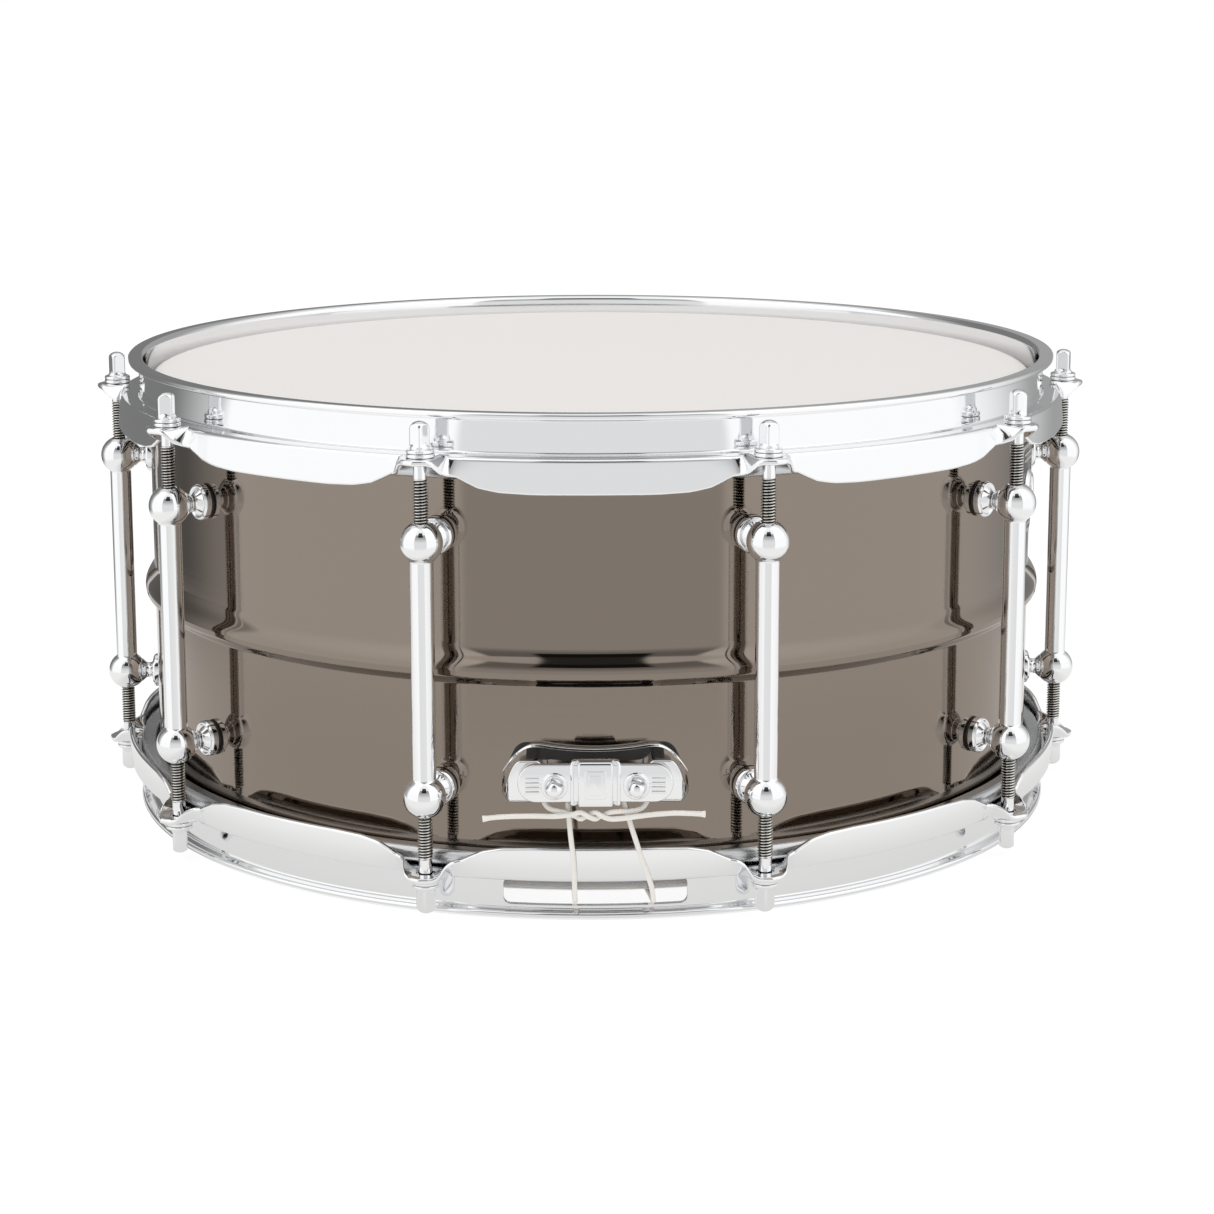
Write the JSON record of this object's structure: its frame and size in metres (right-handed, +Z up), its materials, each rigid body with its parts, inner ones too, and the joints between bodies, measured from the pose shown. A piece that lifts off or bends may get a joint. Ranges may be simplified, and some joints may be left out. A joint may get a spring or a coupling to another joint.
{
  "type": "snare drum",
  "caption": "Metal-shell snare drum with flanged hoops, tube lugs, tension rods, coated batter head, snare wires, a cord butt plate and a lever throw-off strainer.",
  "frame": {"origin": "on the drum's axis, in the plane of the bottom hoop's rim, which the drum stands on", "axes": "+Z up along the axis; -Y to the front, where the butt plate is; +Y to the back, where the throw-off strainer is; +X to the right seen from the front"},
  "size_m": [0.4016, 0.402, 0.18],
  "materials": {
    "black_nickel": "brass shell, black nickel plated and polished to a mirror",
    "chrome_steel": "bright chrome on steel",
    "chrome_brass": "bright chrome on brass tube",
    "chrome_zinc": "bright chrome on a zinc casting",
    "steel": "zinc plated screws and pin",
    "steel_wire": "coiled spring wire",
    "aluminium": "plain satin channel",
    "coated_film": "polyester film with a rough white coating",
    "clear_film": "thin hazy polyester film",
    "badge_metal": "plain satin badge, no text",
    "cord": "white braided nylon cord"
  },
  "bodies": {
    "drum": {"shell": "black_nickel", "batter_head": "coated_film", "batter_flesh_hoop": "aluminium", "snare_head": "clear_film", "snare_flesh_hoop": "aluminium", "top_hoop": "chrome_steel", "bottom_hoop": "chrome_steel", "lug_01": "chrome_brass", "lug_02": "chrome_brass", "lug_03": "chrome_brass", "lug_04": "chrome_brass", "lug_05": "chrome_brass", "lug_06": "chrome_brass", "lug_07": "chrome_brass", "lug_08": "chrome_brass", "lug_09": "chrome_brass", "lug_10": "chrome_brass", "badge": "badge_metal", "vent_grommet": "chrome_brass", "butt_plate": "chrome_zinc", "butt_clamp_plate": "chrome_steel", "butt_clamp_screw_left": "chrome_steel", "butt_clamp_screw_right": "chrome_steel", "butt_mount_screw_left": "steel", "butt_mount_screw_right": "steel", "snare_cord_front": "cord", "snare_cord_back": "cord", "strainer_base": "chrome_zinc", "strainer_mount_screw_bottom": "steel", "strainer_mount_screw_top": "steel", "lever_pivot_pin": "steel"},
    "lever": {"strainer_lever": "chrome_zinc"},
    "slide": {"strainer_slide": "chrome_zinc"},
    "knob": {"tension_knob": "chrome_steel"},
    "carriage": {"clamp_carriage": "chrome_zinc", "strainer_clamp_plate": "chrome_steel", "strainer_clamp_screw_left": "chrome_steel", "strainer_clamp_screw_right": "chrome_steel"},
    "snares": {"snare_wires": "steel_wire"},
    "top_rod_01": {"top_rod_01": "chrome_steel"},
    "bottom_rod_01": {"bottom_rod_01": "chrome_steel"},
    "top_rod_02": {"top_rod_02": "chrome_steel"},
    "bottom_rod_02": {"bottom_rod_02": "chrome_steel"},
    "top_rod_03": {"top_rod_03": "chrome_steel"},
    "bottom_rod_03": {"bottom_rod_03": "chrome_steel"},
    "top_rod_04": {"top_rod_04": "chrome_steel"},
    "bottom_rod_04": {"bottom_rod_04": "chrome_steel"},
    "top_rod_05": {"top_rod_05": "chrome_steel"},
    "bottom_rod_05": {"bottom_rod_05": "chrome_steel"},
    "top_rod_06": {"top_rod_06": "chrome_steel"},
    "bottom_rod_06": {"bottom_rod_06": "chrome_steel"},
    "top_rod_07": {"top_rod_07": "chrome_steel"},
    "bottom_rod_07": {"bottom_rod_07": "chrome_steel"},
    "top_rod_08": {"top_rod_08": "chrome_steel"},
    "bottom_rod_08": {"bottom_rod_08": "chrome_steel"},
    "top_rod_09": {"top_rod_09": "chrome_steel"},
    "bottom_rod_09": {"bottom_rod_09": "chrome_steel"},
    "top_rod_10": {"top_rod_10": "chrome_steel"},
    "bottom_rod_10": {"bottom_rod_10": "chrome_steel"}
  },
  "joints": [
    {"name": "lever_throw", "type": "hinge", "parent": "drum", "child": "lever", "pos_m": [0, 0.191, 0.099], "axis": [-1, 0, 0], "range_deg": [0, 90]},
    {"name": "slide_drop", "type": "slide", "parent": "drum", "child": "slide", "axis": [0, 0, -1], "range_m": [0, 0.007], "deforming": ["snare_cord_back"]},
    {"name": "knob_turn", "type": "hinge", "parent": "slide", "child": "knob", "pos_m": [0, 0.1933, 0.0695], "axis": [0, 0, 1], "range_deg": [-720, 1440]},
    {"name": "fine_tension", "type": "slide", "parent": "slide", "child": "carriage", "axis": [0, 0, -1], "range_m": [-0.0014, 0.0028], "deforming": ["snare_cord_back"]},
    {"name": "snares_drop", "type": "slide", "parent": "drum", "child": "snares", "axis": [0, 0, -1], "range_m": [0, 0.0018], "deforming": ["snare_cord_front", "snare_cord_back"]},
    {"name": "turn_top_rod_01", "type": "hinge", "parent": "drum", "child": "top_rod_01", "pos_m": [0.05955, -0.18327, 0.166], "axis": [0, 0, 1], "continuous": true},
    {"name": "turn_bottom_rod_01", "type": "hinge", "parent": "drum", "child": "bottom_rod_01", "pos_m": [0.05955, -0.18327, 0.014], "axis": [0, 0, -1], "continuous": true},
    {"name": "turn_top_rod_02", "type": "hinge", "parent": "drum", "child": "top_rod_02", "pos_m": [0.1559, -0.11327, 0.166], "axis": [0, 0, 1], "continuous": true},
    {"name": "turn_bottom_rod_02", "type": "hinge", "parent": "drum", "child": "bottom_rod_02", "pos_m": [0.1559, -0.11327, 0.014], "axis": [0, 0, -1], "continuous": true},
    {"name": "turn_top_rod_03", "type": "hinge", "parent": "drum", "child": "top_rod_03", "pos_m": [0.1927, 0, 0.166], "axis": [0, 0, 1], "continuous": true},
    {"name": "turn_bottom_rod_03", "type": "hinge", "parent": "drum", "child": "bottom_rod_03", "pos_m": [0.1927, 0, 0.014], "axis": [0, 0, -1], "continuous": true},
    {"name": "turn_top_rod_04", "type": "hinge", "parent": "drum", "child": "top_rod_04", "pos_m": [0.1559, 0.11327, 0.166], "axis": [0, 0, 1], "continuous": true},
    {"name": "turn_bottom_rod_04", "type": "hinge", "parent": "drum", "child": "bottom_rod_04", "pos_m": [0.1559, 0.11327, 0.014], "axis": [0, 0, -1], "continuous": true},
    {"name": "turn_top_rod_05", "type": "hinge", "parent": "drum", "child": "top_rod_05", "pos_m": [0.05955, 0.18327, 0.166], "axis": [0, 0, 1], "continuous": true},
    {"name": "turn_bottom_rod_05", "type": "hinge", "parent": "drum", "child": "bottom_rod_05", "pos_m": [0.05955, 0.18327, 0.014], "axis": [0, 0, -1], "continuous": true},
    {"name": "turn_top_rod_06", "type": "hinge", "parent": "drum", "child": "top_rod_06", "pos_m": [-0.05955, 0.18327, 0.166], "axis": [0, 0, 1], "continuous": true},
    {"name": "turn_bottom_rod_06", "type": "hinge", "parent": "drum", "child": "bottom_rod_06", "pos_m": [-0.05955, 0.18327, 0.014], "axis": [0, 0, -1], "continuous": true},
    {"name": "turn_top_rod_07", "type": "hinge", "parent": "drum", "child": "top_rod_07", "pos_m": [-0.1559, 0.11327, 0.166], "axis": [0, 0, 1], "continuous": true},
    {"name": "turn_bottom_rod_07", "type": "hinge", "parent": "drum", "child": "bottom_rod_07", "pos_m": [-0.1559, 0.11327, 0.014], "axis": [0, 0, -1], "continuous": true},
    {"name": "turn_top_rod_08", "type": "hinge", "parent": "drum", "child": "top_rod_08", "pos_m": [-0.1927, 0, 0.166], "axis": [0, 0, 1], "continuous": true},
    {"name": "turn_bottom_rod_08", "type": "hinge", "parent": "drum", "child": "bottom_rod_08", "pos_m": [-0.1927, 0, 0.014], "axis": [0, 0, -1], "continuous": true},
    {"name": "turn_top_rod_09", "type": "hinge", "parent": "drum", "child": "top_rod_09", "pos_m": [-0.1559, -0.11327, 0.166], "axis": [0, 0, 1], "continuous": true},
    {"name": "turn_bottom_rod_09", "type": "hinge", "parent": "drum", "child": "bottom_rod_09", "pos_m": [-0.1559, -0.11327, 0.014], "axis": [0, 0, -1], "continuous": true},
    {"name": "turn_top_rod_10", "type": "hinge", "parent": "drum", "child": "top_rod_10", "pos_m": [-0.05955, -0.18327, 0.166], "axis": [0, 0, 1], "continuous": true},
    {"name": "turn_bottom_rod_10", "type": "hinge", "parent": "drum", "child": "bottom_rod_10", "pos_m": [-0.05955, -0.18327, 0.014], "axis": [0, 0, -1], "continuous": true}
  ],
  "couplings": [
    {"joint": "slide_drop", "follows": "lever_throw", "m_per_rad": 0.004393},
    {"joint": "snares_drop", "follows": "lever_throw", "m_per_rad": 0.001133},
    {"joint": "fine_tension", "follows": "knob_turn", "m_per_rad": 0.00011141}
  ]
}
